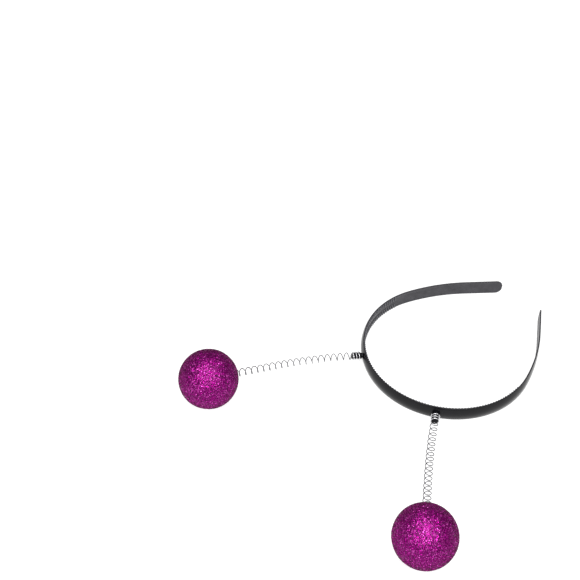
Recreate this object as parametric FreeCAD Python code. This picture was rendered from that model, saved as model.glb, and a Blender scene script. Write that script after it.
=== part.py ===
import FreeCAD, Part
import math
import os

# A novelty headband with a glitter ball on a wire spring at each side of its crown.
# It lies flat on one edge, as on a table: the arms of the C run along +Y, the width of the band
# is upright, and both balls rest on the table. Origin: the lower edge of the band at its crown.
# Every size is in millimetres and every angle in degrees.

# Headband moulding. Its centre line is a chain of arcs, the same on both sides of the crown.
CROWN_R = 60.4  # over the top of the head and down to the ears
CROWN_TURN = 108.4
SIDE_R = 136.8  # behind the ears, where the arms straighten
SIDE_TURN = 19.4
ARM_STRAIGHT = 20.5
FLARE_R = 150.0  # the tips turn outwards a little, clear of the skin
FLARE_TURN = 3.0
WIDTH_AT_CROWN = 10.8
WIDTH_AT_TIP = 11.6
THICKNESS = 2.2  # at mid width, under the dome of the outer face
EDGE_THICKNESS = 1.0
TIP_CORNER_R = 5.2

# Comb teeth, one row along each edge of the inner face.
TOOTH_PITCH = 2.15
TOOTH_ROOT = 1.35
TOOTH_TIP = 0.7
TOOTH_HEIGHT = 1.1
TOOTH_DEPTH = 2.2  # across the band
TEETH_REACH = 104.0  # from the crown, along the band

# Studs, pressed into the outer face of the band, barbed to hold the spring.
STUD_FROM_CROWN = 37.5  # along the band
STUD_LENGTH = 8.0
STUD_FLANGE_R = 2.5
STUD_BARB_R = 2.4
STUD_LAST_BARB_R = 2.0
STUD_NECK_R = 1.7
STUD_BARBS = 3
STUD_FLANGE_T = 0.9
SHANK_R = 1.2
SHANK_LENGTH = 1.5
SHANK_CLEARANCE = 0.05

# Springs, wound from round wire. The first turns are wider and grip the stud.
WIRE_R = 0.275
COIL_R = 2.5  # to the middle of the wire
GRIP_R = 2.85
GRIP_START = 1.5  # from the foot of the stud
GRIP_TURNS = 3
GRIP_PITCH = 2.0
POINTS_PER_TURN = 12

# Balls: a foam core under a crust of glitter, resting on the table.
BALL_R = 20.5
CRUST = 0.5
POCKET_R = 3.0  # the hole that the spring is pushed into
POCKET_DEPTH = 12.0
TAIL_PITCH = 2.2
GLUE_R = 1.9
GLUE_LENGTH = 9.0

# How the two springs lie: the far end drifts sideways from the axis of the stud, and the turns
# that show are those that aren't pushed into the ball.
REACH = 83.4  # from the tip of the stud to the ball, along the axis of the stud
DRIFT = {"left": 20.7, "right": 4.4}
FREE_TURNS = {"left": 19.0, "right": 18.5}
TAIL_TURNS = {"left": 2.5, "right": 3.0}
SIDE = {"left": -1, "right": 1}

STUD_Z = 0.5 * WIDTH_AT_CROWN
UP = FreeCAD.Vector(0, 0, 1)


def V(x, y, z=0.0):
    return FreeCAD.Vector(x, y, z)


def along_band(distance):
    """Point on the centre line of the right arm and the heading there, in degrees from +X."""
    stretches = (
        (CROWN_R, CROWN_TURN),
        (SIDE_R, SIDE_TURN),
        (None, ARM_STRAIGHT),
        (-FLARE_R, FLARE_TURN),
    )
    point = V(0, 0)
    heading = 0.0
    for radius, extent in stretches:
        length = extent if radius is None else math.radians(extent) * abs(radius)
        step = min(distance, length)
        if radius is None:
            point = point + ahead(heading) * step
        else:
            centre = point + ahead(heading + 90) * radius
            heading = heading + math.degrees(step / radius)
            point = centre - ahead(heading + 90) * radius
        distance = distance - step
        if distance <= 0:
            break
    return point, heading


def ahead(heading):
    return V(math.cos(math.radians(heading)), math.sin(math.radians(heading)))


def band_length():
    turned = CROWN_R * CROWN_TURN + SIDE_R * SIDE_TURN + FLARE_R * FLARE_TURN
    return math.radians(turned) + ARM_STRAIGHT


def edge_slope():
    """How fast each edge of the band leaves mid width, per mm from the crown towards the tips."""
    tip = along_band(band_length())[0]
    return 0.5 * (WIDTH_AT_TIP - WIDTH_AT_CROWN) / tip.y


def arm_path():
    """The centre line of the right arm, from the crown to the tip."""
    crown_end = math.radians(CROWN_TURN) * CROWN_R
    side_end = crown_end + math.radians(SIDE_TURN) * SIDE_R
    flare_start = side_end + ARM_STRAIGHT
    arcs = ((0, crown_end), (crown_end, side_end), (flare_start, band_length()))
    edges = []
    for start, end in arcs:
        middle = along_band(0.5 * (start + end))[0]
        edges.append(Part.Arc(along_band(start)[0], middle, along_band(end)[0]).toShape())
    straight = Part.makeLine(along_band(side_end)[0], along_band(flare_start)[0])
    return Part.Wire([edges[0], edges[1], straight, edges[2]])


def band_section():
    """Across the band at its crown: flat towards the head, domed outside, taller than needed."""
    half = 0.5 * WIDTH_AT_TIP + 0.5
    inner = 0.5 * THICKNESS
    shoulder = inner - EDGE_THICKNESS
    dome = Part.Arc(V(0, shoulder, half), V(0, inner - THICKNESS, 0), V(0, shoulder, -half))
    top = Part.makeLine(V(0, inner, half), V(0, shoulder, half))
    bottom = Part.makeLine(V(0, shoulder, -half), V(0, inner, -half))
    back = Part.makeLine(V(0, inner, -half), V(0, inner, half))
    return Part.Wire([top, dome.toShape(), bottom, back])


def taper(inset=0.0):
    """Everything between the two edges of the band, which spread apart from the crown to the tips."""
    near, far = -20.0, 180.0
    low = 0.5 * WIDTH_AT_CROWN - inset + edge_slope() * near
    high = 0.5 * WIDTH_AT_CROWN - inset + edge_slope() * far
    corners = [V(0, near, -low), V(0, far, -high), V(0, far, high), V(0, near, low)]
    face = Part.Face(Part.makePolygon(corners + corners[:1]))
    return face.extrude(V(120, 0, 0))


def tip_corners():
    """What is cut off the end of the arm to round its two corners."""
    end, heading = along_band(band_length())
    half = 0.5 * WIDTH_AT_TIP
    back = end - ahead(heading) * TIP_CORNER_R
    across = ahead(heading - 90)
    cuts = []
    for sign in (-1, 1):
        middle = back + V(0, 0, sign * (half - TIP_CORNER_R))
        size = TIP_CORNER_R + 2
        block = Part.makeBox(size, 12, size)
        if sign < 0:
            block.translate(V(0, 0, -size))
        block.translate(V(0, -6, 0))
        block.rotate(V(0, 0, 0), UP, heading)
        block.translate(middle)
        rod = Part.makeCylinder(TIP_CORNER_R, 20, middle - across * 10, across)
        cuts.append(block.cut(rod))
    return cuts


def comb():
    """The outline of one row of teeth on the right arm, drawn out to the full height."""
    outline = []
    root_depth = 0.5 * THICKNESS - 0.3
    tip_depth = 0.5 * THICKNESS + TOOTH_HEIGHT
    for index in range(int(TEETH_REACH / TOOTH_PITCH)):
        middle = (index + 0.5) * TOOTH_PITCH
        profile = (
            (-0.5 * TOOTH_ROOT, root_depth),
            (-0.5 * TOOTH_TIP, tip_depth),
            (0.5 * TOOTH_TIP, tip_depth),
            (0.5 * TOOTH_ROOT, root_depth),
        )
        for offset, depth in profile:
            point, heading = along_band(middle + offset)
            outline.append(point + ahead(heading + 90) * depth)
    last, heading = along_band(TEETH_REACH)
    back = []
    for index in range(25):
        point, heading = along_band(TEETH_REACH * (1 - index / 24))
        back.append(point)
    outline = outline + back
    face = Part.Face(Part.makePolygon(outline + outline[:1]))
    face.translate(V(0, 0, -10))
    return face.extrude(V(0, 0, 20))


def right_half_band():
    arm = arm_path().makePipeShell([band_section()], True, False)
    arm = arm.common(taper())
    for corner in tip_corners():
        arm = arm.cut(corner)
    rows = comb().common(taper()).cut(taper(TOOTH_DEPTH))
    half = arm.fuse(rows).removeSplitter()
    level = math.degrees(math.atan(edge_slope()))  # lays the lower edge flat on the table
    half.rotate(V(0, 0, 0), V(1, 0, 0), level)
    half.translate(V(0, 0, STUD_Z))
    foot, out = stud_seat(1)
    hole = Part.makeCylinder(SHANK_R + SHANK_CLEARANCE, SHANK_LENGTH + 1.1, foot + out, -out)
    return half.cut(hole)


def mirrored(shape):
    return shape.mirror(V(0, 0, 0), V(1, 0, 0))


def stud_seat(side):
    """Where the axis of a stud meets the outer face of the band, and the way the stud points."""
    point, heading = along_band(STUD_FROM_CROWN)
    out = ahead(heading - 90)
    foot = point + out * (0.5 * THICKNESS) + UP * STUD_Z
    return V(side * foot.x, foot.y, foot.z), V(side * out.x, out.y, 0)


def stud(side):
    """A peg turned about +X: a shank in the band, a flange, then barbs that get slimmer."""
    outline = [V(-SHANK_LENGTH, 0), V(-SHANK_LENGTH, SHANK_R), V(0, SHANK_R), V(0, STUD_FLANGE_R)]
    outline.append(V(STUD_FLANGE_T, STUD_FLANGE_R))
    outline.append(V(STUD_FLANGE_T, STUD_NECK_R))
    pitch = (STUD_LENGTH - STUD_FLANGE_T) / STUD_BARBS
    for index in range(STUD_BARBS):
        slimmer = (STUD_BARB_R - STUD_LAST_BARB_R) * index / (STUD_BARBS - 1)
        start = STUD_FLANGE_T + index * pitch
        outline.append(V(start + 0.35 * pitch, STUD_NECK_R - slimmer))
        outline.append(V(start + 0.35 * pitch, STUD_BARB_R - slimmer))
        outline.append(V(start + pitch, STUD_NECK_R - slimmer - 0.1))
    outline.append(V(STUD_LENGTH, 0))
    face = Part.Face(Part.makePolygon(outline + outline[:1]))
    solid = face.revolve(V(0, 0, 0), V(1, 0, 0), 360)
    foot, out = stud_seat(side)
    solid.rotate(V(0, 0, 0), UP, math.degrees(math.atan2(out.y, out.x)))
    solid.translate(foot)
    return solid


def bend(share):
    """The share of its drift that a spring clamped at one end shows, a share of the way along."""
    return 0.5 * (3 * share**2 - share**3)


def rise(drift):
    """How far the end of the spring climbs, so that the ball on it just touches the table."""
    climb = 10.0
    for _ in range(30):
        slopes = math.hypot(1.5 * drift / REACH, 1.5 * climb / REACH)
        beyond = BALL_R / math.hypot(1, slopes)
        climb = (BALL_R - STUD_Z) / (1 + 1.5 * beyond / REACH)
    return climb


def spring_line(name):
    """Points down the middle of the spring: straight on the stud, bent to the ball, straight in it."""
    foot, out = stud_seat(SIDE[name])
    left_of_out = V(-out.y, out.x, 0)
    sideways = left_of_out * DRIFT[name] + UP * rise(DRIFT[name])
    tip = foot + out * STUD_LENGTH
    points = [foot, tip]
    steps = 60
    for index in range(1, steps + 1):
        share = index / steps
        points.append(tip + out * (REACH * share) + sideways * bend(share))
    heading = out * REACH + sideways * 1.5
    heading.normalize()
    points.append(points[-1] + heading * (2 * BALL_R))
    return points


def ball_place(name):
    """Centre of the ball and the way the spring points as it goes in."""
    points = spring_line(name)
    heading = points[-1] - points[-2]
    heading.normalize()
    return points[-2] + heading * BALL_R, heading


def on_line(points, distance):
    """Point and direction at a distance along a chain of points."""
    for start, end in zip(points, points[1:]):
        step = (end - start).Length
        if distance <= step:
            break
        distance = distance - step
    heading = (end - start) * (1 / step)
    return start + heading * distance, heading


def visible_length(points):
    return sum((end - start).Length for start, end in zip(points[:-2], points[1:-1]))


def coil_turns(name):
    """Distance along the spring and coil radius at each whole step of the winding."""
    grip_end = GRIP_START + GRIP_TURNS * GRIP_PITCH
    free = visible_length(spring_line(name)) - grip_end
    turns = GRIP_TURNS + FREE_TURNS[name] + TAIL_TURNS[name]
    places = []
    for index in range(int(turns * POINTS_PER_TURN) + 1):
        turn = index / POINTS_PER_TURN
        gripping = min(turn, GRIP_TURNS)
        running = min(max(turn - GRIP_TURNS, 0), FREE_TURNS[name])
        held = max(turn - GRIP_TURNS - FREE_TURNS[name], 0)
        distance = GRIP_START + gripping * GRIP_PITCH + running * free / FREE_TURNS[name]
        distance = distance + held * TAIL_PITCH
        narrowing = min(max(turn - GRIP_TURNS + 0.5, 0), 1)
        places.append((turn, distance, GRIP_R + (COIL_R - GRIP_R) * narrowing))
    return places


def wire_solid(name, first_turn, last_turn):
    """The wire between two turns of the winding, as a round bar along the helix."""
    points = spring_line(name)
    path = []
    for turn, distance, radius in coil_turns(name):
        if first_turn <= turn <= last_turn:
            middle, heading = on_line(points, distance)
            across = heading.cross(UP)
            across.normalize()
            below = heading.cross(across)
            angle = 2 * math.pi * turn
            path.append(middle + (across * math.cos(angle) + below * math.sin(angle)) * radius)
    curve = Part.BSplineCurve()
    curve.interpolate(path)
    start = curve.tangent(curve.FirstParameter)[0]
    profile = Part.Wire([Part.Circle(path[0], start, WIRE_R).toShape()])
    return Part.Wire([curve.toShape()]).makePipeShell([profile], True, True)


def springs(name):
    """The spring in two lengths that meet half way, so that each can follow its own joint."""
    middle = GRIP_TURNS + int(0.5 * FREE_TURNS[name])
    end = GRIP_TURNS + FREE_TURNS[name] + TAIL_TURNS[name]
    return wire_solid(name, 0, middle), wire_solid(name, middle, end)


def ball(name):
    """Foam core with a pocket for the spring, the glitter crust round it, and the glue inside the coil."""
    centre, heading = ball_place(name)
    entry = centre - heading * BALL_R
    core_r = BALL_R - CRUST
    pocket = Part.makeCylinder(POCKET_R, POCKET_DEPTH + 5, entry - heading * 5, heading)
    core = Part.makeSphere(core_r, centre).cut(pocket)
    crust = Part.makeSphere(BALL_R, centre).cut(Part.makeSphere(core_r, centre)).cut(pocket)
    glue = Part.makeCylinder(GLUE_R, GLUE_LENGTH, entry + heading * (POCKET_DEPTH - GLUE_LENGTH), heading)
    return core, crust, glue


def write(shape, node):
    solids = shape.Solids
    if len(solids) != 1 or not shape.isValid():
        raise ValueError(node + " isn't one valid solid: " + str(len(solids)))
    solids[0].exportStep("parts/" + node + ".step")


os.makedirs("parts", exist_ok=True)
right_band = right_half_band()
write(right_band, "headband_right_half")
write(mirrored(right_band), "headband_left_half")
for name in SIDE:
    write(stud(SIDE[name]), name + "_stud")
    inner_spring, outer_spring = springs(name)
    write(inner_spring, name + "_spring_inner")
    write(outer_spring, name + "_spring_outer")
    core, crust, glue = ball(name)
    write(core, name + "_foam_core")
    write(crust, name + "_glitter_crust")
    write(glue, name + "_glue_plug")
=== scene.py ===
import math

import bpy
import numpy as np
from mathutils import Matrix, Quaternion, Vector


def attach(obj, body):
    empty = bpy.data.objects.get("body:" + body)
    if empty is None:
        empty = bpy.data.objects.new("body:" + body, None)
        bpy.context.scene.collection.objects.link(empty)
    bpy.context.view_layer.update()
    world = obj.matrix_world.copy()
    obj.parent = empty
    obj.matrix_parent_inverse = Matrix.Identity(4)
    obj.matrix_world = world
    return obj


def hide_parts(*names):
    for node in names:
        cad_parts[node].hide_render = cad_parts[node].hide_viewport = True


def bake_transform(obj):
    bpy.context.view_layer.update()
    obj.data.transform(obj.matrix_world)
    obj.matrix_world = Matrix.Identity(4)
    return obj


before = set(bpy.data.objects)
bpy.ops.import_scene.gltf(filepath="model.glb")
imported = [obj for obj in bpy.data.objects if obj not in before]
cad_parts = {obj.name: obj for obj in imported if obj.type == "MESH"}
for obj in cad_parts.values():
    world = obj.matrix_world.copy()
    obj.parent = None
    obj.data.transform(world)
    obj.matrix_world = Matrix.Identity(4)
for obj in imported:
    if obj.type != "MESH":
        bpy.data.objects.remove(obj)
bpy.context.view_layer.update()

bl_info = {
    "name": "Glitter Ball Headband",
    "version": (1, 0, 0),
    "blender": (4, 5, 0),
    "location": "View3D > Sidebar > Headband",
    "description": "Builds a comb headband with two glitter balls on springs around its CAD frame",
    "category": "Object",
}

MM = 0.001
UP = np.array([0.0, 0.0, 1.0])
SIDES = {"left": -1, "right": 1}


# ---- Sizes and colours that a user would change ----


def amount(name, description, value, **more):
    return bpy.props.FloatProperty(name=name, description=description, default=value, **more)


def length(name, description, millimetres):
    return amount(name, description, millimetres * MM, unit="LENGTH", precision=5)


def angle(name, description, degrees):
    return amount(name, description, math.radians(degrees), unit="ROTATION")


def count(name, description, value):
    return bpy.props.IntProperty(name=name, description=description, default=value, min=1)


def colour(name, description, red, green, blue):
    return bpy.props.FloatVectorProperty(
        name=name, description=description, default=(red, green, blue), subtype="COLOR", min=0, max=1
    )


class HeadbandSizes(bpy.types.PropertyGroup):
    crown_radius: length("Crown radius", "Radius of the centre line over the crown", 60.4)
    crown_turn: angle("Crown turn", "How far the crown's arc turns on each side", 108.4)
    side_radius: length("Side radius", "Radius of the centre line behind the ears", 136.8)
    side_turn: angle("Side turn", "How far the side arc turns", 19.4)
    arm_straight: length("Arm straight", "Straight stretch before the tip", 20.5)
    flare_radius: length("Flare radius", "Radius of the tip's outward bend", 150)
    flare_turn: angle("Flare turn", "How far the tip bends outwards", 3)
    width_at_crown: length("Width at crown", "Height of the band as it lies, at the crown", 10.8)
    width_at_tip: length("Width at tip", "Height of the band as it lies, at the tips", 11.6)
    thickness: length("Thickness", "At mid width, under the dome of the outer face", 2.2)
    edge_thickness: length("Edge thickness", "Thickness where the edge starts to round", 1.0)
    dome_until: length("Dome until", "From the crown to where the dome starts to fade", 85)
    edge_round: length("Edge round", "How far the rounding of each edge reaches", 0.45)
    tip_corner: length("Tip corner", "Radius of the corners at the tips", 5.2)
    tip_round: length("Tip round", "How far the end of the tip thins out", 0.8)
    rim: length("Rim", "Width of the raised rim round the inner face", 1.5)
    recess: length("Recess", "Depth of the inner face below its rim", 0.22)
    tooth_pitch: length("Tooth pitch", "Distance between comb teeth", 2.15)
    tooth_width: length("Tooth width", "Width of a tooth at its root", 1.35)
    tooth_height: length("Tooth height", "How far a tooth stands in from the rim", 1.1)
    tooth_depth: length("Tooth depth", "How far a tooth runs in from the edge of the band", 4.3)
    teeth_reach: length("Teeth reach", "How far the teeth go from the crown", 104)


class StudSizes(bpy.types.PropertyGroup):
    from_crown: length("From crown", "Distance along the band", 37.5)
    length: length("Length", "From the face of the band to the tip", 8.0)
    flange_radius: length("Flange radius", "Collar against the band", 1.8)
    flange_thickness: length("Flange thickness", "Collar against the band", 0.4)
    root_radius: length("Root radius", "Bottom of the thread", 1.95)
    crest_radius: length("Crest radius", "Top of the thread", 2.5)
    end_round: length("End round", "Rounding of the tip", 0.35)
    end_slant: amount("End slant", "How fast the end runs back towards its top", 0.4)


class SpringSizes(bpy.types.PropertyGroup):
    wire_radius: length("Wire radius", "Half the wire's thickness", 0.3)
    coil_radius: length("Coil radius", "To the middle of the wire", 2.5)
    grip_radius: length("Grip radius", "Coil radius of the turns on the stud", 2.85)
    grip_start: length("Grip start", "From the foot of the stud", 1.0)
    grip_turns: count("Grip turns", "Turns on the stud", 3)
    grip_pitch: length("Grip pitch", "Pitch of the turns on the stud", 2.0)
    tail_pitch: length("Tail pitch", "Pitch of the turns in the ball", 2.2)
    reach: length("Reach", "From the stud to the ball, along the stud's axis", 83.4)
    left_drift: length("Left drift", "Sideways drift of the left spring's end", 20.7)
    right_drift: length("Right drift", "Sideways drift of the right spring's end", 4.4)
    left_turns: amount("Left turns", "Free turns of the left spring", 19.0)
    right_turns: amount("Right turns", "Free turns of the right spring", 18.5)
    left_tail: amount("Left tail turns", "Turns of the left spring inside its ball", 2.5)
    right_tail: amount("Right tail turns", "Turns of the right spring inside its ball", 3.0)
    root_share: length("Root stretch", "Stretch past the stud that bends with the sway", 28)
    bend_share: length("Middle stretch", "End of the stretch that bends with the nod", 56)


class BallSizes(bpy.types.PropertyGroup):
    radius: length("Radius", "Over the glitter", 20.5)
    skin_radius: length("Skin radius", "Lacquered skin under the glitter", 20.15)
    dimple_radius: length("Dimple radius", "Where the spring goes in", 3.0)
    dimple_depth: length("Dimple depth", "Where the spring goes in", 1.5)
    lip_height: length("Lip height", "Lacquer pushed up round the spring", 0.7)
    flakes: count("Flakes", "Glitter flakes in each of a ball's two layers", 15500)
    flake_radius: length("Flake radius", "Half a flake's width, corner to corner", 0.37)
    fine_radius: length("Fine flake radius", "Half a fine flake's width, corner to corner", 0.27)
    flake_lift: length("Flake lift", "How unevenly the flakes stand off the skin", 0.14)
    flake_tilt: angle("Flake tilt", "Spread of the flakes' tilt", 14)


class Finishes(bpy.types.PropertyGroup):
    plastic: colour("Plastic", "Black moulding", 0.004, 0.004, 0.005)
    plastic_inner: colour("Plastic, inner face", "Satin inner face", 0.045, 0.044, 0.05)
    # painted highlight: a lighter colour for the comb teeth, standing in for light on them
    tooth: colour("Teeth, painted highlight", "Comb teeth lightened as a painted highlight", 0.10, 0.10, 0.11)
    # painted highlight: a lighter steel colour for the turns over the stud
    steel_painted_highlight: colour("Steel, painted highlight", "Painted highlight on the turns over the stud", 0.75, 0.75, 0.77)
    steel: colour("Steel", "Spring wire", 0.2, 0.2, 0.21)
    steel_dull: colour("Dull steel", "Darker streaks of the wire", 0.1, 0.1, 0.11)
    glitter_deep: colour("Deep glitter", "Darkest flakes", 0.12, 0.001, 0.09)
    glitter: colour("Glitter", "Most of the flakes", 0.25, 0.004, 0.16)
    glitter_hot: colour("Hot glitter", "Brightest flakes", 0.8, 0.12, 0.6)
    lacquer: colour("Lacquer", "Skin between the flakes", 0.09, 0.001, 0.06)
    foam: colour("Foam", "Beads of the core", 0.82, 0.80, 0.77)
    glue: colour("Glue", "Hot melt glue", 0.72, 0.62, 0.42)
    floor: colour("Floor", "Paper under the object", 0.36, 0.36, 0.36)
    floor_glow: amount("Floor glow", "Light that the paper gives of itself", 0.78)


class StageSizes(bpy.types.PropertyGroup):
    camera_distance: length("Camera distance", "From the aim", 873.8)
    camera_azimuth: angle("Camera azimuth", "Round from the front of the band", 46.44)
    camera_elevation: angle("Camera elevation", "Above the floor", 42.9)
    camera_roll: angle("Camera roll", "Anticlockwise turn of the camera about its view", 2.49)
    focal_length: amount("Focal length", "In millimetres, on a 36 mm sensor", 71.52)
    aim: bpy.props.FloatVectorProperty(
        name="Aim", description="Point that the camera looks at",
        default=(-0.12359, 0.02067, 0.0), unit="LENGTH", subtype="XYZ", precision=5,
    )
    floor_size: length("Floor size", "Side of the floor", 6000)
    world_light: amount("World light", "Brightness all round", 0.24)
    key_power: amount("Key power", "Soft light near the camera, in watts", 8.0)
    key_distance: length("Key distance", "From the aim", 950)
    key_width: length("Key width", "Across the view", 1300)
    key_height: length("Key height", "Up the view", 220)
    top_power: amount("Top power", "Soft light overhead, in watts", 16.0)
    top_distance: length("Top distance", "From the aim", 1400)
    top_width: length("Top width", "Across the view", 1500)
    top_height: length("Top depth", "Along the view", 1000)
    top_elevation: angle("Top elevation", "Above the floor", 84)


# ---- Meshes ----


def unit(vectors):
    """Each vector over its own length."""
    return vectors / np.linalg.norm(vectors, axis=-1, keepdims=True)


def smooth_step(share):
    """3t^2 - 2t^3 of the share, held between 0 and 1."""
    share = np.clip(share, 0, 1)
    return share * share * (3 - 2 * share)


def closed_rings(rings):
    """Skin over rings of points, of shape (copies, rows, columns, 3). Quads join each ring to the
    next, and triangles join the first and the last ring to a point at its middle. Returns the
    points, the quads and the triangles, turned so that the skin's signed volume is positive."""
    copies, rows, columns = rings.shape[:3]
    middles = rings[:, [0, -1]].mean(2)
    points = np.concatenate([rings.reshape(copies, -1, 3), middles], 1)
    row, column = np.meshgrid(np.arange(rows - 1), np.arange(columns), indexing="ij")
    near = row * columns + column
    beside = row * columns + (column + 1) % columns
    quads = np.stack([near, beside, beside + columns, near + columns], -1).reshape(-1, 4)
    around = np.arange(columns)
    first = np.stack([(around + 1) % columns, around, around * 0 + rows * columns], -1)
    last = first[:, [1, 0, 2]] + (rows - 1) * columns
    last[:, 2] = rows * columns + 1
    triangles = np.concatenate([first, last])
    if signed_volume(points[0], quads, triangles) < 0:
        quads, triangles = quads[:, ::-1], triangles[:, ::-1]
    start = (np.arange(copies) * points.shape[1])[:, None, None]
    return points.reshape(-1, 3), (start + quads).reshape(-1, 4), (start + triangles).reshape(-1, 3)


def signed_volume(points, quads, triangles):
    """A sixth of the sum of each triangle's triple product, with each quad as two triangles."""
    corners = np.concatenate([triangles, quads[:, :3], quads[:, [0, 2, 3]]])
    a, b, c = points[corners].transpose(1, 0, 2)
    return (a * np.cross(b, c)).sum() / 6


def join(parts):
    """One mesh from several (points, faces, faces, ...), with each part's indices moved on."""
    points, faces, start = [], [], 0
    for part in parts:
        points.append(part[0])
        faces.extend(group + start for group in part[1:])
        start += len(part[0])
    return np.concatenate(points), faces


def make_piece(name, points, faces, materials, smooth=True, material_of=None):
    """A mesh object of that name. faces is a list of index arrays, one for each number of
    corners, and material_of gives each polygon's material where there are several."""
    mesh = bpy.data.meshes.new(name)
    corners = np.concatenate([group.ravel() for group in faces])
    sizes = np.concatenate([np.full(len(group), group.shape[1]) for group in faces])
    starts = np.concatenate([[0], np.cumsum(sizes)[:-1]])
    mesh.vertices.add(len(points))
    mesh.vertices.foreach_set("co", np.ascontiguousarray(points, np.float32).ravel())
    mesh.loops.add(len(corners))
    mesh.loops.foreach_set("vertex_index", corners.astype(np.int32))
    mesh.polygons.add(len(sizes))
    mesh.polygons.foreach_set("loop_start", starts.astype(np.int32))
    mesh.polygons.foreach_set("use_smooth", np.full(len(sizes), smooth))
    for material in materials:
        mesh.materials.append(material)
    if material_of is not None:
        mesh.polygons.foreach_set("material_index", material_of.astype(np.int32))
    mesh.update(calc_edges=True)
    if mesh.validate():
        raise ValueError(name + " had broken faces")
    piece = bpy.data.objects.new(name, mesh)
    bpy.context.scene.collection.objects.link(piece)
    return piece


def store(piece, name, values):
    """Keeps one number or one vector for each vertex, for the materials to read."""
    kind, field = ("FLOAT", "value") if values.ndim == 1 else ("FLOAT_VECTOR", "vector")
    attribute = piece.data.attributes.new(name, kind, "POINT")
    attribute.data.foreach_set(field, np.ascontiguousarray(values, np.float32).ravel())


# ---- Material nodes ----


def new_tree(name):
    """A material with an empty node tree but for its output."""
    material = bpy.data.materials.new(name)
    material.use_nodes = True
    tree = material.node_tree
    tree.nodes.clear()
    return material, tree


def feed(tree, socket, value):
    """Links the input to another node's output, or sets it to a value."""
    if isinstance(value, bpy.types.NodeSocket):
        tree.links.new(value, socket)
    else:
        socket.default_value = value


def add(tree, kind, settings=None, **inputs):
    """A node whose inputs are values, or sockets to link. An input's spaces are written _."""
    node = tree.nodes.new("ShaderNode" + kind)
    for name, value in (settings or {}).items():
        setattr(node, name, value)
    for name, value in inputs.items():
        feed(tree, node.inputs[name.replace("_", " ")], value)
    return node


def numbered(tree, kind, settings, inputs):
    """The same for a node whose inputs share their names, so that they go by number."""
    node = add(tree, kind, settings)
    for index, value in inputs.items():
        feed(tree, node.inputs[index], value)
    return node


def attribute(tree, name, output="Vector"):
    return add(tree, "Attribute", {"attribute_name": name}).outputs[output]


def ramp(tree, value, *stops):
    """Colour ramp over (position, colour) stops."""
    node = add(tree, "ValToRGB", Fac=value)
    elements = node.color_ramp.elements
    while len(elements) < len(stops):
        elements.new(1.0)
    for element, (position, shade) in zip(elements, stops):
        element.position = position
        element.color = opaque(shade)
    return node.outputs["Color"]


def spread(tree, value, low, high, start=0.0, end=1.0):
    """The value, from start to end, spread over low to high."""
    keys = {"From_Min": start, "From_Max": end, "To_Min": low, "To_Max": high}
    return add(tree, "MapRange", Value=value, **keys).outputs["Result"]


def noise(tree, vector, scale, detail=2.0, roughness=0.5):
    return add(
        tree, "TexNoise", Vector=vector, Scale=scale, Detail=detail, Roughness=roughness
    ).outputs["Fac"]


def stretched(tree, vector, scale):
    return add(tree, "Mapping", Vector=vector, Scale=scale).outputs["Vector"]


def opaque(shade):
    return shade if isinstance(shade, bpy.types.NodeSocket) else (*shade[:3], 1.0)


def mixed(tree, share, first, second):
    """The first colour where share is 0 and the second where it is 1."""
    inputs = {0: share, 6: opaque(first), 7: opaque(second)}
    return numbered(tree, "Mix", {"data_type": "RGBA"}, inputs).outputs[2]


def sum_of(tree, first, second):
    return add_math(tree, "ADD", first, second)


def product_of(tree, first, second):
    return add_math(tree, "MULTIPLY", first, second)


def add_math(tree, operation, first, second):
    return numbered(tree, "Math", {"operation": operation}, {0: first, 1: second}).outputs[0]


def bump(tree, height, distance):
    return add(tree, "Bump", Height=height, Distance=distance, Strength=1.0).outputs["Normal"]


def finish_material(material, tree, **inputs):
    shader = add(tree, "BsdfPrincipled", **inputs)
    output = add(tree, "OutputMaterial")
    tree.links.new(shader.outputs["BSDF"], output.inputs["Surface"])
    return material


def object_coordinates(tree):
    return add(tree, "TexCoord").outputs["Object"]


def plastic_material(finishes):
    """Black polystyrene from a polished mould outside and a satin one inside. The lie attribute
    holds the distance along the band, the share of its height, and how far inside a point is."""
    material, tree = new_tree("black moulded plastic")
    lie = attribute(tree, "lie")
    inside = add(tree, "SeparateXYZ", Vector=lie).outputs["Z"]
    place = object_coordinates(tree)
    flow = noise(tree, stretched(tree, lie, (60, 6, 1)), 1.0, 3.0)
    grain = noise(tree, place, 2600, 2.0)
    handling = noise(tree, place, 160, 4.0, 0.6)
    shade = mixed(tree, inside, finishes.plastic, finishes.plastic_inner)
    worn = ramp(tree, handling, (0.35, (0.82,) * 3), (0.72, (1.3,) * 3))
    tint = numbered(tree, "VectorMath", {"operation": "MULTIPLY"}, {0: shade, 1: worn})
    gloss = spread(tree, flow, 0.12, 0.22, 0.3, 0.7)
    satin = spread(tree, handling, 0.26, 0.40, 0.3, 0.7)
    rough = numbered(tree, "Mix", {"data_type": "FLOAT"}, {0: inside, 2: gloss, 3: satin})
    ripple = product_of(tree, flow, 0.6)
    pebble = product_of(tree, product_of(tree, grain, inside), 0.25)
    normal = bump(tree, sum_of(tree, ripple, pebble), 0.00006)
    return finish_material(
        material, tree, Base_Color=tint.outputs["Vector"], Roughness=rough.outputs[0],
        Normal=normal, Specular_IOR_Level=0.2,
    )


def tooth_material(finishes):
    """The comb teeth, with a painted highlight: lighter than the inner face, in random patches."""
    material, tree = new_tree("worn teeth")
    place = object_coordinates(tree)
    wear_and_sheen = noise(tree, place, 700, 3.0)
    # painted highlight: random patches between the inner face's colour and the lighter tooth colour
    shade = ramp(tree, wear_and_sheen, (0.3, finishes.plastic_inner), (0.6, finishes.tooth))
    rough = spread(tree, wear_and_sheen, 0.22, 0.40, 0.3, 0.7)
    normal = bump(tree, noise(tree, place, 3000), 0.00002)
    return finish_material(
        material, tree, Base_Color=shade, Roughness=rough, Normal=normal, Specular_IOR_Level=0.3
    )


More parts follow.
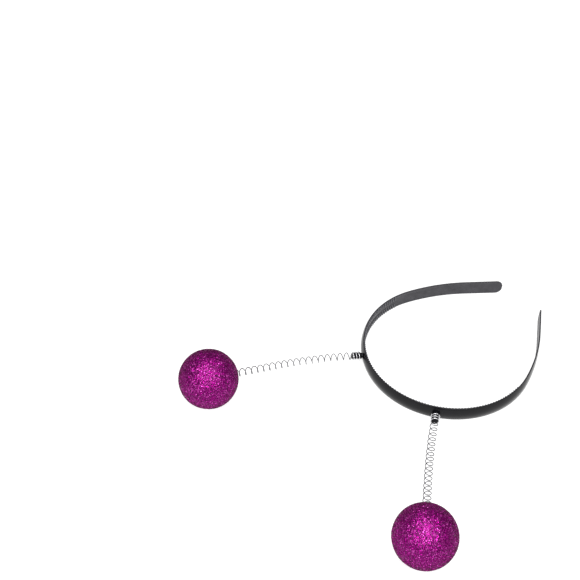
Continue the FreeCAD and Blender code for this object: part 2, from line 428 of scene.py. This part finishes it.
def stud_material(finishes):
    """The same plastic on the studs, in random blotches of tone and polish."""
    material, tree = new_tree("stud plastic")
    place = object_coordinates(tree)
    blotch = noise(tree, place, 900, 3.0)
    shade = ramp(tree, blotch, (0.3, finishes.plastic), (0.75, [3 * c for c in finishes.plastic]))
    rough = spread(tree, blotch, 0.16, 0.34, 0.3, 0.7)
    normal = bump(tree, noise(tree, place, 3000), 0.00003)
    return finish_material(
        material, tree, Base_Color=shade, Roughness=rough, Normal=normal, Specular_IOR_Level=0.2
    )


def steel_material(finishes):
    """Drawn spring wire: streaks along the wire, which the lie attribute follows. The turns over the
    stud carry a painted highlight, a lighter colour that fades over the next few mm."""
    material, tree = new_tree("drawn spring wire")
    lie = attribute(tree, "lie")
    streaks = noise(tree, stretched(tree, lie, (150, 9000, 9000)), 1.0, 3.0, 0.6)
    patches = noise(tree, object_coordinates(tree), 220, 3.0)
    wear_and_sheen = product_of(tree, streaks, patches)
    drawn = ramp(tree, wear_and_sheen, (0.12, finishes.steel_dull), (0.32, finishes.steel))
    springs = bpy.context.scene.spring_sizes
    gripped = springs.grip_turns * 2 * math.pi * springs.grip_radius
    run = add(tree, "SeparateXYZ", Vector=lie).outputs["X"]
    fade = 8 * MM
    # painted highlight: the turns over the stud take the lighter steel colour, which fades to the drawn
    # wire over 8 mm
    off_painted_highlight = spread(tree, run, 0.0, 1.0, gripped, gripped + fade)
    shade = mixed(tree, off_painted_highlight, finishes.steel_painted_highlight, drawn)
    rough = spread(tree, streaks, 0.24, 0.42, 0.3, 0.7)
    normal = bump(tree, streaks, 0.00001)
    return finish_material(material, tree, Base_Color=shade, Metallic=1.0, Roughness=rough, Normal=normal)


def flake_material(finishes):
    """Foil flakes. The tint attribute is a number for each flake."""
    material, tree = new_tree("foil glitter")
    tint = attribute(tree, "tint", "Fac")
    shade = ramp(
        tree, tint, (0.0, finishes.glitter_deep), (0.35, finishes.glitter), (0.8, finishes.glitter),
        (1.0, finishes.glitter_hot),
    )
    scuffs = noise(tree, object_coordinates(tree), 4000, 2.0)
    rough = spread(tree, sum_of(tree, tint, scuffs), 0.16, 0.34, 0.4, 1.4)
    return finish_material(
        material, tree, Base_Color=shade, Metallic=0.78, Roughness=rough,
        Specular_Tint=(0.2, 0.03, 0.16, 1.0),
    )


def lacquer_material(finishes):
    """Lacquer that holds the flakes, with finer glitter dust in it."""
    material, tree = new_tree("glitter lacquer")
    place = object_coordinates(tree)
    dust = add(tree, "TexVoronoi", Vector=place, Scale=2200.0)
    shade = ramp(
        tree, dust.outputs["Color"], (0.2, finishes.lacquer), (0.6, finishes.glitter_deep),
        (0.9, finishes.glitter),
    )
    normal = bump(tree, dust.outputs["Distance"], 0.0001)
    return finish_material(material, tree, Base_Color=shade, Metallic=0.5, Roughness=0.35, Normal=normal)


def foam_material(finishes):
    """Beads of expanded foam pressed together."""
    material, tree = new_tree("bead foam")
    beads = add(tree, "TexVoronoi", Vector=object_coordinates(tree), Scale=420.0)
    shade = ramp(
        tree, beads.outputs["Distance"], (0.1, finishes.foam), (0.8, [0.8 * c for c in finishes.foam])
    )
    normal = bump(tree, beads.outputs["Distance"], -0.0003)
    return finish_material(material, tree, Base_Color=shade, Roughness=0.75, Normal=normal)


def glue_material(finishes):
    """Hot melt glue, cloudy and a little lumpy."""
    material, tree = new_tree("hot melt glue")
    clouds = noise(tree, object_coordinates(tree), 500, 4.0)
    shade = ramp(tree, clouds, (0.3, finishes.glue), (0.8, (0.9, 0.86, 0.72)))
    normal = bump(tree, clouds, 0.0002)
    return finish_material(
        material, tree, Base_Color=shade, Roughness=0.3, Normal=normal, Subsurface_Weight=0.4
    )


def floor_material(finishes):
    """Pale seamless paper, which glows so that it stays pale under the object."""
    material, tree = new_tree("floor paper")
    fibres = noise(tree, object_coordinates(tree), 40, 3.0)
    shade = ramp(tree, fibres, (0.3, finishes.floor), (0.7, [1.02 * c for c in finishes.floor]))
    return finish_material(
        material, tree, Base_Color=shade, Roughness=0.9, Emission_Color=(1, 1, 1, 1),
        Emission_Strength=finishes.floor_glow,
    )


# ---- The headband ----


def band_stretches(sizes):
    """Length and curvature of each stretch of an arm's centre line, from the crown out."""
    return (
        (sizes.crown_radius * sizes.crown_turn, 1 / sizes.crown_radius),
        (sizes.side_radius * sizes.side_turn, 1 / sizes.side_radius),
        (sizes.arm_straight, 0.0),
        (sizes.flare_radius * sizes.flare_turn, -1 / sizes.flare_radius),
    )


def band_length(sizes):
    return sum(stretch for stretch, _ in band_stretches(sizes))


def along_band(sizes, distance):
    """Point on the centre line and the heading there, at each distance from the crown, below zero
    on the left arm. Along a stretch of curvature k, a step s moves the point by a chord of
    sin(ks/2)/(k/2), at half the turn, and turns the heading by ks. The left arm is mirrored."""
    left = np.abs(distance)
    heading = np.zeros_like(left)
    point = np.zeros(left.shape + (2,))
    for stretch, curvature in band_stretches(sizes):
        step = np.clip(left, 0, stretch)
        chord = step * np.sinc(0.5 * curvature * step / np.pi)
        middle = heading + 0.5 * curvature * step
        point += chord[..., None] * np.stack([np.cos(middle), np.sin(middle)], -1)
        heading = heading + curvature * step
        left = left - step
    side = np.where(distance < 0, -1.0, 1.0)
    point[..., 0] *= side
    return point, heading * side


def edge_slope(sizes):
    """How fast each edge leaves mid width, over the distance in Y from the crown to the tip."""
    tip = along_band(sizes, np.array([band_length(sizes)]))[0][0]
    return 0.5 * (sizes.width_at_tip - sizes.width_at_crown) / tip[1]


def band_frame(sizes, distance):
    """At each distance: the point on the floor under the centre line, the way out of the head,
    and half the band's width, which is also the height of its middle."""
    point, heading = along_band(sizes, distance)
    under = np.concatenate([point, 0 * point[..., :1]], -1)
    out = np.stack([np.sin(heading), -np.cos(heading), 0 * heading], -1)
    middle = 0.5 * sizes.width_at_crown + edge_slope(sizes) * point[..., 1]
    return under, out, middle


def doming(sizes, distance):
    """How much of its dome the outer face has: all of it to the fade's start, none at the tip."""
    faded = (np.abs(distance) - sizes.dome_until) / (band_length(sizes) - sizes.dome_until)
    return 1 - smooth_step(faded)


def band_stations(sizes, spacing=1.1 * MM, tip_steps=26):
    """Distances along the band: evenly spaced, then by equal angles round the tips' corners."""
    end = band_length(sizes)
    shoulder = end - sizes.tip_corner
    run = np.linspace(-shoulder, shoulder, int(2 * shoulder / spacing))
    corner = shoulder + sizes.tip_corner * np.sin(np.linspace(0, np.pi / 2, tip_steps)[1:])
    return np.concatenate([-corner[::-1], run, corner])


def band_ring(face_points=23, edge_points=9):
    """One lap of the section as shares: of the straight part of the height, of the edge's
    rounding, and of the depth, which is 1 outside and -1 inside."""
    face = np.linspace(-1, 1, face_points)
    turn = np.linspace(0, np.pi, edge_points + 2)[1:-1]
    level = np.concatenate([face, turn * 0 + 1, -face, turn * 0 - 1])
    bulge = np.concatenate([face * 0, np.sin(turn), face * 0, -np.sin(turn)])
    depth = np.concatenate([face * 0 + 1, np.cos(turn), face * 0 - 1, -np.cos(turn)])
    return level, bulge, depth


def band_surface(sizes):
    """The moulding. Its height at a station is half width less the tip corner's r - sqrt(r^2 - d^2),
    where d is how far the station is into the corner. The outer face is a dome that falls off
    with the square of the height and fades towards the tips. The inner face sinks by the recess
    inside its rim. The edges are half ellipses, and the tip thins out along another. Returns the
    surface and, for the material, each point's lie in the band."""
    rim_slope = 0.35 * MM
    thinnest = 0.97
    distance = band_stations(sizes)
    under, out, middle = band_frame(sizes, distance)
    level, bulge, depth = band_ring()
    end = band_length(sizes)
    into_corner = np.clip(np.abs(distance) - end + sizes.tip_corner, 0, sizes.tip_corner)
    cut = sizes.tip_corner - np.sqrt(sizes.tip_corner**2 - into_corner**2)
    half = middle - cut
    into_end = np.clip((np.abs(distance) - end) / sizes.tip_round + 1, 0, thinnest)
    thinning = np.sqrt(1 - into_end**2)[:, None]
    height = level * (half[:, None] - sizes.edge_round) + bulge * sizes.edge_round
    beyond = np.clip(np.abs(distance)[:, None] - end + middle[:, None], 0, None)
    from_outline = middle[:, None] - np.hypot(beyond, height)
    sunk = sizes.recess * smooth_step((from_outline - sizes.rim) / rim_slope) * (1 - depth) / 2
    rise = (sizes.thickness - sizes.edge_thickness) * doming(sizes, distance)[:, None]
    dome = rise * (1 - level**2) * (1 + depth) / 2
    profile = 0.5 * sizes.edge_thickness * depth + dome + sunk
    offset = thinning * profile - 0.5 * rise
    rings = under[:, None] + out[:, None] * offset[..., None]
    rings = rings + UP * (middle[:, None] + height)[..., None]
    shares = distance[:, None], height / middle[:, None], (1 - depth) / 2
    lie = np.stack(np.broadcast_arrays(*shares), -1)
    ends = np.stack([lie[0].mean(0), lie[-1].mean(0)])
    return closed_rings(rings[None]), np.concatenate([lie.reshape(-1, 3), ends])


def teeth(sizes, around=8, rows=5):
    """Comb teeth, two rows on each arm. Each is a superellipsoid on the inner face, its sine and
    cosine raised to a power, which narrows towards its top and gets lower away from the edge."""
    power, pole_gap = 0.7, 0.25
    narrowing, lowering, root_share = 0.3, 0.38, 0.3
    from_edge, into_face = 0.12 * MM, 0.05 * MM

    def blunt(value):
        return np.sign(value) * np.abs(value) ** power

    per_arm = int(sizes.teeth_reach / sizes.tooth_pitch)
    index = np.arange(-per_arm, per_arm) + 0.5
    distance, row = (grid.ravel() for grid in np.meshgrid(index * sizes.tooth_pitch, (-1.0, 1.0)))
    under, out, middle = band_frame(sizes, distance)
    lap = np.linspace(0, 2 * np.pi, around, endpoint=False)
    fall = np.linspace(pole_gap, np.pi - pole_gap, rows)
    across, rise = blunt(np.sin(fall))[:, None], blunt(np.cos(fall))[:, None]
    along_share = across * blunt(np.cos(lap))
    deep_share = across * blunt(np.sin(lap))
    lean = 1 - lowering * (deep_share + 1)
    along = 0.5 * sizes.tooth_width * along_share * (1 - narrowing * rise)
    inward = sizes.tooth_height * rise * np.where(rise > 0, lean, root_share)
    deep = 0.5 * sizes.tooth_depth * (1 + deep_share) + from_edge
    tangent = np.cross(UP, out)
    domed = (sizes.thickness - sizes.edge_thickness) * doming(sizes, distance)
    base = 0.5 * (sizes.edge_thickness + domed) - into_face
    rings = under[:, None, None] - out[:, None, None] * (base[:, None, None] + inward)[..., None]
    rings = rings + tangent[:, None, None] * along[None, ..., None]
    height = middle[:, None, None] + row[:, None, None] * (middle[:, None, None] - deep[None])
    return closed_rings(rings + UP * height[..., None])


# ---- Studs and springs ----


def stud_seat(side):
    """Where the axis of a stud meets the outer face, the way it points, and the way across."""
    scene = bpy.context.scene
    sizes = scene.headband_sizes
    under, out, _ = band_frame(sizes, np.array([SIDES[side] * scene.stud_sizes.from_crown]))
    foot = under[0] + out[0] * 0.5 * sizes.thickness + UP * 0.5 * sizes.width_at_crown
    return foot, out[0], unit(np.cross(out[0], UP))


def stud_surface(side, rows=110, around=96):
    """A peg turned about its axis, with a thread whose radius runs from root to crest with a power
    of (1 - cos) / 2 of the phase. The phase is the distance over the pitch plus the angle over a
    turn, so that the spring's wire lies in the groove. A collar meets the band, and the end,
    which is rounded, slants back towards its top."""
    thread_power, collar_slope = 1.6, 0.25 * MM
    into_band, end_loss = 0.4 * MM, 0.2
    studs = bpy.context.scene.stud_sizes
    springs = bpy.context.scene.spring_sizes
    foot, out, across = stud_seat(side)
    distance = np.linspace(-into_band, studs.length, rows)[:, None]
    lap = np.linspace(0, 2 * np.pi, around, endpoint=False)
    phase = (distance - springs.grip_start) / springs.grip_pitch + lap / (2 * np.pi)
    ridge = (0.5 - 0.5 * np.cos(2 * np.pi * phase)) ** thread_power
    radius = studs.root_radius + (studs.crest_radius - studs.root_radius) * ridge
    collar = 1 - smooth_step((distance - studs.flange_thickness) / collar_slope + 0.5)
    radius = radius + (studs.flange_radius - radius) * collar
    into_end = np.clip((distance - studs.length) / studs.end_round + 1, 0, 1)
    radius = radius * (1 - end_loss + end_loss * np.sqrt(1 - into_end**2))
    spoke = across * np.cos(lap)[:, None] + UP * np.sin(lap)[:, None]
    above = radius * np.sin(lap) + studs.crest_radius
    cut_back = studs.end_slant * above * smooth_step(2 * distance / studs.length - 1)
    rings = foot + out * (distance - cut_back)[..., None] + spoke[None] * radius[..., None]
    return closed_rings(rings[None])


def spring_line(side, steps=600):
    """Points down the middle of a spring, and the distance along it to each. It leaves the stud
    straight, bends to the ball as a bar clamped at one end does, with (3t^2 - t^3) / 2 of its
    drift a share t of the way, and runs straight on into the ball. It climbs by just as much as
    leaves the ball on the floor."""
    springs = bpy.context.scene.spring_sizes
    balls = bpy.context.scene.ball_sizes
    foot, out, across = stud_seat(side)
    drift = getattr(springs, side + "_drift")
    climb = ball_climb(drift, foot[2])
    aside = -across * drift + UP * climb
    share = np.linspace(0, 1, steps + 1)[:, None]
    tip = foot + out * bpy.context.scene.stud_sizes.length
    bent = tip + out * springs.reach * share + aside * 0.5 * (3 * share**2 - share**3)
    heading = unit(out * springs.reach + 1.5 * aside)
    points = np.concatenate([[foot], bent, [bent[-1] + heading * 2 * balls.radius]])
    travelled = np.concatenate([[0], np.cumsum(np.linalg.norm(np.diff(points, axis=0), axis=1))])
    return points, travelled, heading


def ball_climb(drift, stud_height, laps=30):
    """How far the spring's end climbs for its ball to touch the floor: the ball's centre lies a
    radius further on, along a slope that depends on the climb, so it is found by repetition."""
    springs = bpy.context.scene.spring_sizes
    radius = bpy.context.scene.ball_sizes.radius
    climb = 0.5 * radius
    for _ in range(laps):
        slopes = math.hypot(1.5 * drift / springs.reach, 1.5 * climb / springs.reach)
        beyond = radius / math.hypot(1, slopes)
        climb = (radius - stud_height) / (1 + 1.5 * beyond / springs.reach)
    return climb


def on_spring(side, distance):
    """Point and heading at each distance along a spring."""
    points, travelled, _ = spring_line(side)
    nudge = 0.05 * MM

    def place(distance):
        return np.stack([np.interp(distance, travelled, axis) for axis in points.T], -1)

    return place(distance), unit(place(distance + nudge) - place(distance - nudge))


def free_end(side):
    """Distance along a spring at which it goes into its ball."""
    return spring_line(side)[1][-2]


def winding(side, turn):
    """Distance along the spring and coil radius at each turn: an even pitch on the stud, an even
    pitch over the free turns, and an even pitch in the ball. The coil narrows off the stud."""
    springs = bpy.context.scene.spring_sizes
    free_turns = getattr(springs, side + "_turns")
    grip_end = springs.grip_start + springs.grip_turns * springs.grip_pitch
    gripping = np.minimum(turn, springs.grip_turns) * springs.grip_pitch
    running = np.clip((turn - springs.grip_turns) / free_turns, 0, 1) * (free_end(side) - grip_end)
    held = np.maximum(turn - springs.grip_turns - free_turns, 0) * springs.tail_pitch
    narrowing = np.clip(turn - springs.grip_turns + 0.5, 0, 1)
    radius = springs.grip_radius + (springs.coil_radius - springs.grip_radius) * narrowing
    return springs.grip_start + gripping + running + held, radius


def wire_surface(side, first, last, points_per_turn=30, around=10):
    """Round wire along the winding between two turns. Its middle is the spring's line plus the
    coil radius times a spoke that goes round once a turn, and each ring lies across it. Returns
    the surface and, for the material, each point's distance along the wire and place in it."""
    nudge = 0.002
    springs = bpy.context.scene.spring_sizes
    turn = np.linspace(first, last, int((last - first) * points_per_turn) + 2)

    def middle(turn):
        distance, radius = winding(side, turn)
        place, heading = on_spring(side, distance)
        across = unit(np.cross(heading, UP))
        lap = 2 * np.pi * turn[:, None]
        spoke = across * np.cos(lap) + np.cross(heading, across) * np.sin(lap)
        return place + spoke * radius[:, None], spoke

    wire, spoke = middle(turn)
    tangent = unit(middle(turn + nudge)[0] - middle(turn - nudge)[0])
    binormal = unit(np.cross(tangent, spoke))
    normal = np.cross(binormal, tangent)
    lap = np.linspace(0, 2 * np.pi, around, endpoint=False)[:, None]
    ring = normal[:, None] * np.cos(lap) + binormal[:, None] * np.sin(lap)
    surface = closed_rings((wire[:, None] + ring * springs.wire_radius)[None])
    start = first * 2 * np.pi * springs.coil_radius
    along = start + np.concatenate([[0], np.cumsum(np.linalg.norm(np.diff(wire, axis=0), axis=1))])
    lie = np.zeros((len(turn), around, 3))
    lie[..., 0] = along[:, None]
    lie[..., 1:] = springs.wire_radius * np.concatenate([np.cos(lap), np.sin(lap)], 1)
    return surface, np.concatenate([lie.reshape(-1, 3), lie[0, :1], lie[-1, :1]])


def spring_stretches(side):
    """The three stretches of a spring: number, first and last turn, the bodies that it joins, and
    the distances between which it goes from the one to the other."""
    springs = bpy.context.scene.spring_sizes
    stud = bpy.context.scene.stud_sizes.length
    gap = 2 * MM
    free_turns, tail_turns = getattr(springs, side + "_turns"), getattr(springs, side + "_tail")
    last_turn = springs.grip_turns + free_turns + tail_turns
    turns = np.linspace(0, last_turn, 4000)
    distance = winding(side, turns)[0]
    cuts = (stud + springs.root_share, stud + springs.bend_share)
    cut_turns = [0, *np.interp(cuts, distance, turns), last_turn]
    bodies = (side + "_band_half", side + "_spring_root", side + "_spring_end", side + "_ball")
    spans = ((stud, cuts[0] - gap), (cuts[0] + gap, cuts[1] - gap), (cuts[1] + gap, free_end(side)))
    return [
        (index, cut_turns[index], cut_turns[index + 1], bodies[index : index + 2], spans[index])
        for index in range(3)
    ]


# ---- Balls ----


def ball_frame(side):
    """Centre of a ball, the way from it to the spring, and two directions square to that."""
    points, _, heading = spring_line(side)
    centre = points[-2] + heading * bpy.context.scene.ball_sizes.radius
    first = unit(np.cross(-heading, UP))
    return centre, -heading, first, np.cross(-heading, first)


def skin_height(polar, lap):
    """Distance of the skin from the ball's centre, at an angle from the spring and round it: the
    skin's radius, plus a lip that is a bell curve just outside the dimple, less the dimple,
    plus slow low waves."""
    balls = bpy.context.scene.ball_sizes
    lip_width, wave_height, far_away = 0.8 * MM, 0.03 * MM, 1.0
    from_axis = np.where(polar < 1, balls.skin_radius * np.sin(polar), far_away)
    ragged = 1 + 0.25 * np.sin(3 * lap + 1) + 0.15 * np.sin(7 * lap)
    from_lip = (from_axis - 1.15 * balls.dimple_radius) / lip_width
    lip = balls.lip_height * ragged * np.exp(-(from_lip**2))
    dimple = balls.dimple_depth * smooth_step(1 - from_axis / balls.dimple_radius)
    waves = wave_height * (np.sin(5 * polar + 2 * lap) + np.sin(7 * polar - 3 * lap))
    return balls.skin_radius + lip - dimple + waves * np.sin(polar)


def skin_surface(side, rows=90, around=96):
    """The lacquered skin, on rings about the spring's axis that lie closer near the spring."""
    first_ring, last_ring, crowding = 0.03, 0.99, 1.6
    centre, axis, first, second = ball_frame(side)
    polar = np.pi * np.linspace(first_ring, last_ring, rows)[:, None] ** crowding
    lap = np.linspace(0, 2 * np.pi, around, endpoint=False)[None]
    radius = skin_height(polar, lap)[..., None]
    spoke = first * np.cos(lap)[..., None] + second * np.sin(lap)[..., None]
    ray = axis * np.cos(polar)[..., None] + spoke * np.sin(polar)[..., None]
    return closed_rings((centre + ray * radius)[None])


def flake_surface(side, draw, flake_radius):
    """Hexagonal flakes at even steps of area along a golden spiral from the spring round the ball,
    each a little off its step. Each is a flat hexagon with a blunt point behind it. Its normal is
    the ball's plus a tilt with a normal spread, and it stands off the skin by a random lift.
    A quick build has fewer and larger flakes."""
    off_step, smallest, largest, point_depth = 0.4, 0.75, 1.15, 0.3
    least_lift = 0.02 * MM
    balls = bpy.context.scene.ball_sizes
    centre, axis, first, second = ball_frame(side)
    number = balls.flakes
    size = flake_radius * 1.0
    index = np.arange(number) + 0.5
    index = np.clip(index + draw.uniform(-off_step, off_step, number), 0, number)
    polar = np.arccos(1 - 2 * index / number)
    lap = np.pi * (1 + math.sqrt(5)) * index + draw.uniform(0, 2 * np.pi)
    keep = polar * balls.skin_radius > 0.8 * balls.dimple_radius
    polar, lap = polar[keep], lap[keep]
    number = len(polar)
    spoke = first * np.cos(lap)[:, None] + second * np.sin(lap)[:, None]
    ray = axis * np.cos(polar)[:, None] + spoke * np.sin(polar)[:, None]
    lift = draw.uniform(least_lift, balls.flake_lift, number)
    middle = centre + ray * (skin_height(polar, lap) + lift)[:, None]
    tilt = draw.normal(0, math.tan(balls.flake_tilt), (number, 2))
    other = np.cross(axis, spoke)
    down = np.cross(ray, other)
    normal = unit(ray + down * tilt[:, :1] + other * tilt[:, 1:])
    turned = draw.uniform(0, 2 * np.pi, number)[:, None]
    flat = unit(np.cross(normal, other + 0.3 * down))
    beside = np.cross(normal, flat)
    sixth = np.arange(6) * np.pi / 3 + turned
    corner = flat[:, None] * np.cos(sixth)[..., None] + beside[:, None] * np.sin(sixth)[..., None]
    scale = size * draw.uniform(smallest, largest, number)
    rim = middle[:, None] + corner * scale[:, None, None]
    back = middle - normal * point_depth * scale[:, None]
    points = np.concatenate([rim, back[:, None]], 1)
    start = 7 * np.arange(number)[:, None]
    around = np.arange(6)
    hexagons = start + around
    fans = np.stack([(around + 1) % 6, around, 0 * around + 6], -1)
    triangles = (start[..., None] + fans).reshape(-1, 3)
    tint = np.repeat(draw.uniform(0, 1, number), 7)
    return points.reshape(-1, 3), triangles, hexagons, tint


# ---- Operators ----


class HEADBAND_OT_stage(bpy.types.Operator):
    """Floor, camera and soft studio light"""

    bl_idname = "headband.stage"
    bl_label = "Stage"

    def execute(self, context):
        scene = context.scene
        stage = scene.stage_sizes
        square = np.array([[-1, -1, 0], [1, -1, 0], [1, 1, 0], [-1, 1, 0]])
        corners = 0.5 * stage.floor_size * square
        paper = floor_material(scene.finishes)
        floor = make_piece("floor", corners, [np.array([[0, 1, 2, 3]])], [paper])
        self.place_camera(scene, stage)
        world = bpy.data.worlds.new("studio")
        world.use_nodes = True
        background = world.node_tree.nodes["Background"]
        background.inputs["Color"].default_value = (1, 1, 1, 1)
        background.inputs["Strength"].default_value = stage.world_light
        scene.world = world
        scene.view_settings.view_transform = "Standard"
        self.place_light(stage, "key", stage.camera_elevation)
        self.place_light(stage, "top", stage.top_elevation)
        return {"FINISHED"}

    def place_camera(self, scene, stage):
        camera = bpy.data.objects.new("camera", bpy.data.cameras.new("camera"))
        scene.collection.objects.link(camera)
        camera.data.sensor_width = 36
        camera.data.lens = stage.focal_length
        camera.location = self.seen_from(stage, stage.camera_elevation, stage.camera_distance)
        facing = (Vector(stage.aim) - camera.location).to_track_quat("-Z", "Y")
        camera.rotation_euler = (facing @ Quaternion((0, 0, 1), stage.camera_roll)).to_euler()
        scene.camera = camera

    def place_light(self, stage, name, elevation):
        light = bpy.data.lights.new(name, "AREA")
        light.shape = "ELLIPSE"
        light.size = getattr(stage, name + "_width")
        light.size_y = getattr(stage, name + "_height")
        light.energy = getattr(stage, name + "_power")
        lamp = bpy.data.objects.new(name, light)
        bpy.context.scene.collection.objects.link(lamp)
        lamp.location = self.seen_from(stage, elevation, getattr(stage, name + "_distance"))
        lamp.rotation_euler = (Vector(stage.aim) - lamp.location).to_track_quat("-Z", "Y").to_euler()

    def seen_from(self, stage, elevation, distance):
        """A point at that distance from the aim, on the camera's side of it."""
        azimuth = stage.camera_azimuth
        level = distance * math.cos(elevation)
        step = (level * math.sin(azimuth), -level * math.cos(azimuth), distance * math.sin(elevation))
        return Vector(stage.aim) + Vector(step)


class HEADBAND_OT_headband(bpy.types.Operator):
    """The moulding with its comb teeth, in one piece"""

    bl_idname = "headband.headband"
    bl_label = "Headband"

    def execute(self, context):
        sizes, finishes = context.scene.headband_sizes, context.scene.finishes
        surface, lie = band_surface(sizes)
        parts = [surface, teeth(sizes)]
        points, faces = join(parts)
        materials = [plastic_material(finishes), tooth_material(finishes)]
        material_of = np.repeat([0, 1], [sum(map(len, part[1:])) for part in parts])
        piece = make_piece("headband", points, faces, materials, material_of=material_of)
        store(piece, "lie", np.concatenate([lie, np.zeros_like(points[len(lie) :])]))
        stud_room = 5 * MM
        stiff = context.scene.stud_sizes.from_crown - stud_room
        ends = band_frame(sizes, np.array([-stiff, stiff]))[0]
        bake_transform(piece)
        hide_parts("headband_left_half", "headband_right_half")
        return {"FINISHED"}


class HEADBAND_OT_studs(bpy.types.Operator):
    """Threaded studs that hold the springs"""

    bl_idname = "headband.studs"
    bl_label = "Studs"

    def execute(self, context):
        material = stud_material(context.scene.finishes)
        for side in SIDES:
            points, quads, triangles = stud_surface(side)
            piece = make_piece(side + "_threaded_stud", points, [quads, triangles], [material])
            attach(piece, side + "_band_half")
            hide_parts(side + "_stud")
        return {"FINISHED"}


class HEADBAND_OT_springs(bpy.types.Operator):
    """Wire springs, each in three stretches"""

    bl_idname = "headband.springs"
    bl_label = "Springs"

    def execute(self, context):
        material = steel_material(context.scene.finishes)
        names = ("_spring_on_stud", "_spring_middle", "_spring_at_ball")
        for side in SIDES:
            for index, first, last, bodies, span in spring_stretches(side):
                surface, lie = wire_surface(side, first, last)
                piece = make_piece(side + names[index], surface[0], surface[1:], [material])
                store(piece, "lie", lie)
                start, end = on_spring(side, np.array(span))[0]
                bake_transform(piece)
                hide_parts(side + ("_spring_inner" if index == 0 else "_spring_outer"))
        return {"FINISHED"}


class HEADBAND_OT_balls(bpy.types.Operator):
    """Glitter balls: a lacquered skin under thousands of foil flakes"""

    bl_idname = "headband.balls"
    bl_label = "Balls"

    def execute(self, context):
        finishes = context.scene.finishes
        balls = context.scene.ball_sizes
        lacquer, foil = lacquer_material(finishes), flake_material(finishes)
        for side in SIDES:
            draw = np.random.default_rng(11 + SIDES[side])
            points, quads, triangles = skin_surface(side)
            pieces = [make_piece(side + "_ball_skin", points, [quads, triangles], [lacquer])]
            for layer, radius in (("_glitter", balls.flake_radius), ("_fine_glitter", balls.fine_radius)):
                points, triangles, hexagons, tint = flake_surface(side, draw, radius)
                flakes = make_piece(
                    side + "_ball" + layer, points, [triangles, hexagons], [foil], smooth=False
                )
                store(flakes, "tint", tint)
                pieces.append(flakes)
            for piece in pieces:
                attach(piece, side + "_ball")
                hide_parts(side + "_glitter_crust")
        return {"FINISHED"}


class HEADBAND_OT_fillings(bpy.types.Operator):
    """Finishes of the foam cores and the glue, whose CAD shapes stay"""

    bl_idname = "headband.fillings"
    bl_label = "Foam and glue"

    def execute(self, context):
        finishes = context.scene.finishes
        foam, glue = foam_material(finishes), glue_material(finishes)
        for side in SIDES:
            for node, material in ((side + "_foam_core", foam), (side + "_glue_plug", glue)):
                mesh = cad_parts[node].data
                mesh.materials.clear()
                mesh.materials.append(material)
        return {"FINISHED"}


OPERATORS = (
    HEADBAND_OT_stage,
    HEADBAND_OT_headband,
    HEADBAND_OT_studs,
    HEADBAND_OT_springs,
    HEADBAND_OT_balls,
    HEADBAND_OT_fillings,
)
GROUPS = {
    "headband_sizes": HeadbandSizes,
    "stud_sizes": StudSizes,
    "spring_sizes": SpringSizes,
    "ball_sizes": BallSizes,
    "finishes": Finishes,
    "stage_sizes": StageSizes,
}


class HEADBAND_PT_panel(bpy.types.Panel):
    """Sizes, colours and building steps of the headband"""

    bl_idname = "HEADBAND_PT_panel"
    bl_label = "Glitter Ball Headband"
    bl_space_type = "VIEW_3D"
    bl_region_type = "UI"
    bl_category = "Headband"

    def draw(self, context):
        for operator in OPERATORS:
            self.layout.operator(operator.bl_idname)
        for group, kind in GROUPS.items():
            box = self.layout.box()
            for setting in kind.__annotations__:
                box.prop(getattr(context.scene, group), setting)


def register():
    for kind in (*GROUPS.values(), *OPERATORS, HEADBAND_PT_panel):
        bpy.utils.register_class(kind)
    for name, kind in GROUPS.items():
        setattr(bpy.types.Scene, name, bpy.props.PointerProperty(type=kind))


def unregister():
    for name in GROUPS:
        delattr(bpy.types.Scene, name)
    for kind in reversed((*GROUPS.values(), *OPERATORS, HEADBAND_PT_panel)):
        bpy.utils.unregister_class(kind)


def main():
    register()
    bpy.ops.headband.stage()
    bpy.ops.headband.headband()
    bpy.ops.headband.studs()
    bpy.ops.headband.springs()
    bpy.ops.headband.balls()
    bpy.ops.headband.fillings()


if __name__ == "__main__":
    main()
